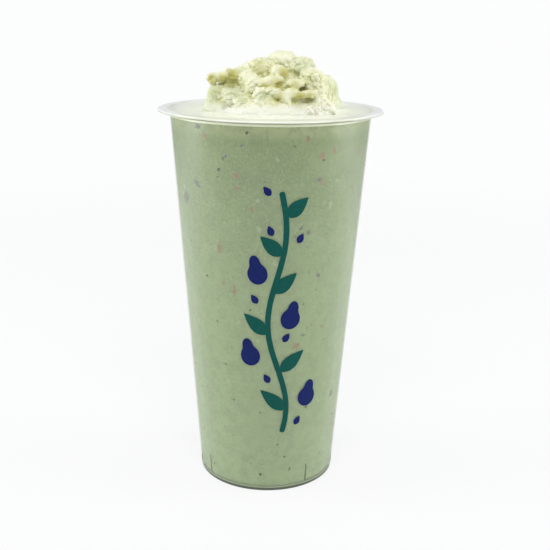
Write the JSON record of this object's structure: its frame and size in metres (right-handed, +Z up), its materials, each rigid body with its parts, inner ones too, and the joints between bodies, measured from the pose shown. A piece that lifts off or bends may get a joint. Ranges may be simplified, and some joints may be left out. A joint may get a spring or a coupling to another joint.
{
  "type": "avocado shake",
  "caption": "Tall see-through takeaway cup with a wide flat rim, full of pale green shake, with an uneven heap of soft pale curds standing above the rim.",
  "frame": {"origin": "centre of the cup's foot ring, on the surface that the cup stands on", "axes": "+Z up the cup's axis to the heap, -Y to the printed front"},
  "size_m": [0.095, 0.095, 0.1871],
  "materials": {
    "cup": "see-through moulded polypropylene, slightly milky, smooth with soft highlights",
    "shake": "thick pale green blended avocado and milk, opaque, with small darker and reddish flecks",
    "topping": "grainy, moist, pale yellow-green curds of icy avocado mash, yellower in the hollows",
    "print": "thin opaque printing ink, dark blue and dark teal"
  },
  "bodies": {
    "root": {"cup": "cup", "shake": "shake", "topping": "topping"}
  },
  "joints": []
}
